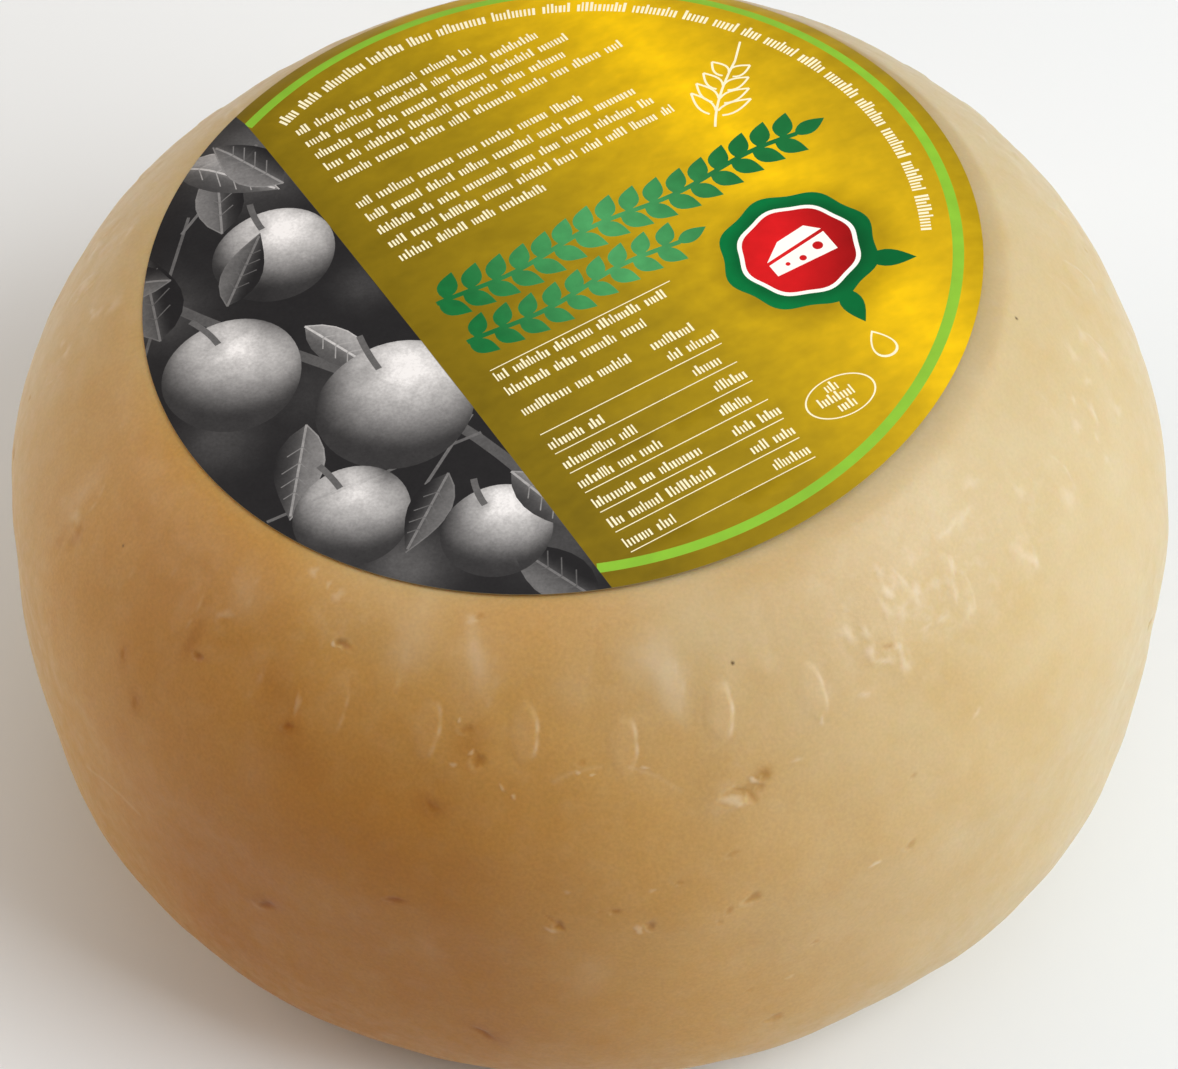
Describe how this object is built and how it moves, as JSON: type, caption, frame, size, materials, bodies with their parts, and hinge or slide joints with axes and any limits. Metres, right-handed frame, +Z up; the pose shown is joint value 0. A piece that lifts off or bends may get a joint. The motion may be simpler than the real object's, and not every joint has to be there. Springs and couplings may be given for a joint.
{
  "type": "cheese wheel",
  "caption": "Whole round cheese wheel with bulging sides, a smooth waxy rind and a large round paper label that covers most of its slightly slanted top face.",
  "frame": {"origin": "middle of the resting face, below the middle of the wheel's outline", "axes": "+Z up from the resting face through the top; -Y towards the viewer of the picture; +X to the viewer's right, where the top face is highest"},
  "size_m": [0.1652, 0.165, 0.0984],
  "materials": {
    "rind": "translucent cream to ochre rind with a satin, slightly waxy sheen and small glossy bumps",
    "label_print": "satin printed label: mottled gold field with a green ring line and a grey picture segment"
  },
  "bodies": {
    "root": {"cheese": "rind", "label": "label_print"}
  },
  "joints": []
}
